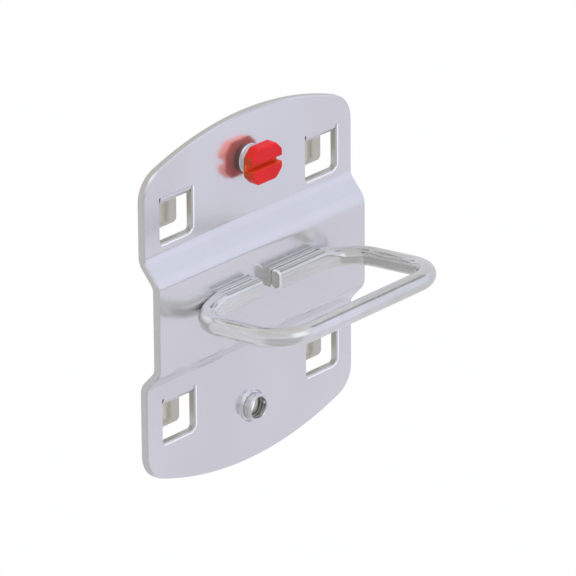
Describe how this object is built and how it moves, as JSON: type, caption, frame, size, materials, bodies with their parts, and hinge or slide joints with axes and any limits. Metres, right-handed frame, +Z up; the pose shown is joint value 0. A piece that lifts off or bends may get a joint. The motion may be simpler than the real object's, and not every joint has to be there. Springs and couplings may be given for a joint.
{
  "type": "pegboard tool holder",
  "caption": "Zinc-plated pegboard tool holder: an arched sheet-steel plate with hooks, a closed wire loop and a red clamping screw.",
  "frame": {"origin": "middle of the four hooks, on the plate's back face", "axes": "+X along the width, to the right seen from the front; +Y into the panel, so the loop reaches towards -Y; +Z up"},
  "size_m": [0.0546, 0.0334, 0.0667],
  "materials": {
    "plate_zinc": "bright zinc plating on smooth sheet steel",
    "wire_zinc": "bright zinc plating on drawn wire",
    "red_plastic": "moulded red plastic, semi-gloss"
  },
  "bodies": {
    "holder": {"mounting_plate": "plate_zinc", "wire_loop": "wire_zinc"},
    "screw": {"clamping_screw": "red_plastic"}
  },
  "joints": [
    {"name": "screw_turn", "type": "hinge", "parent": "holder", "child": "screw", "pos_m": [0, 0, 0.02375], "axis": [0, 1, 0], "continuous": true}
  ]
}
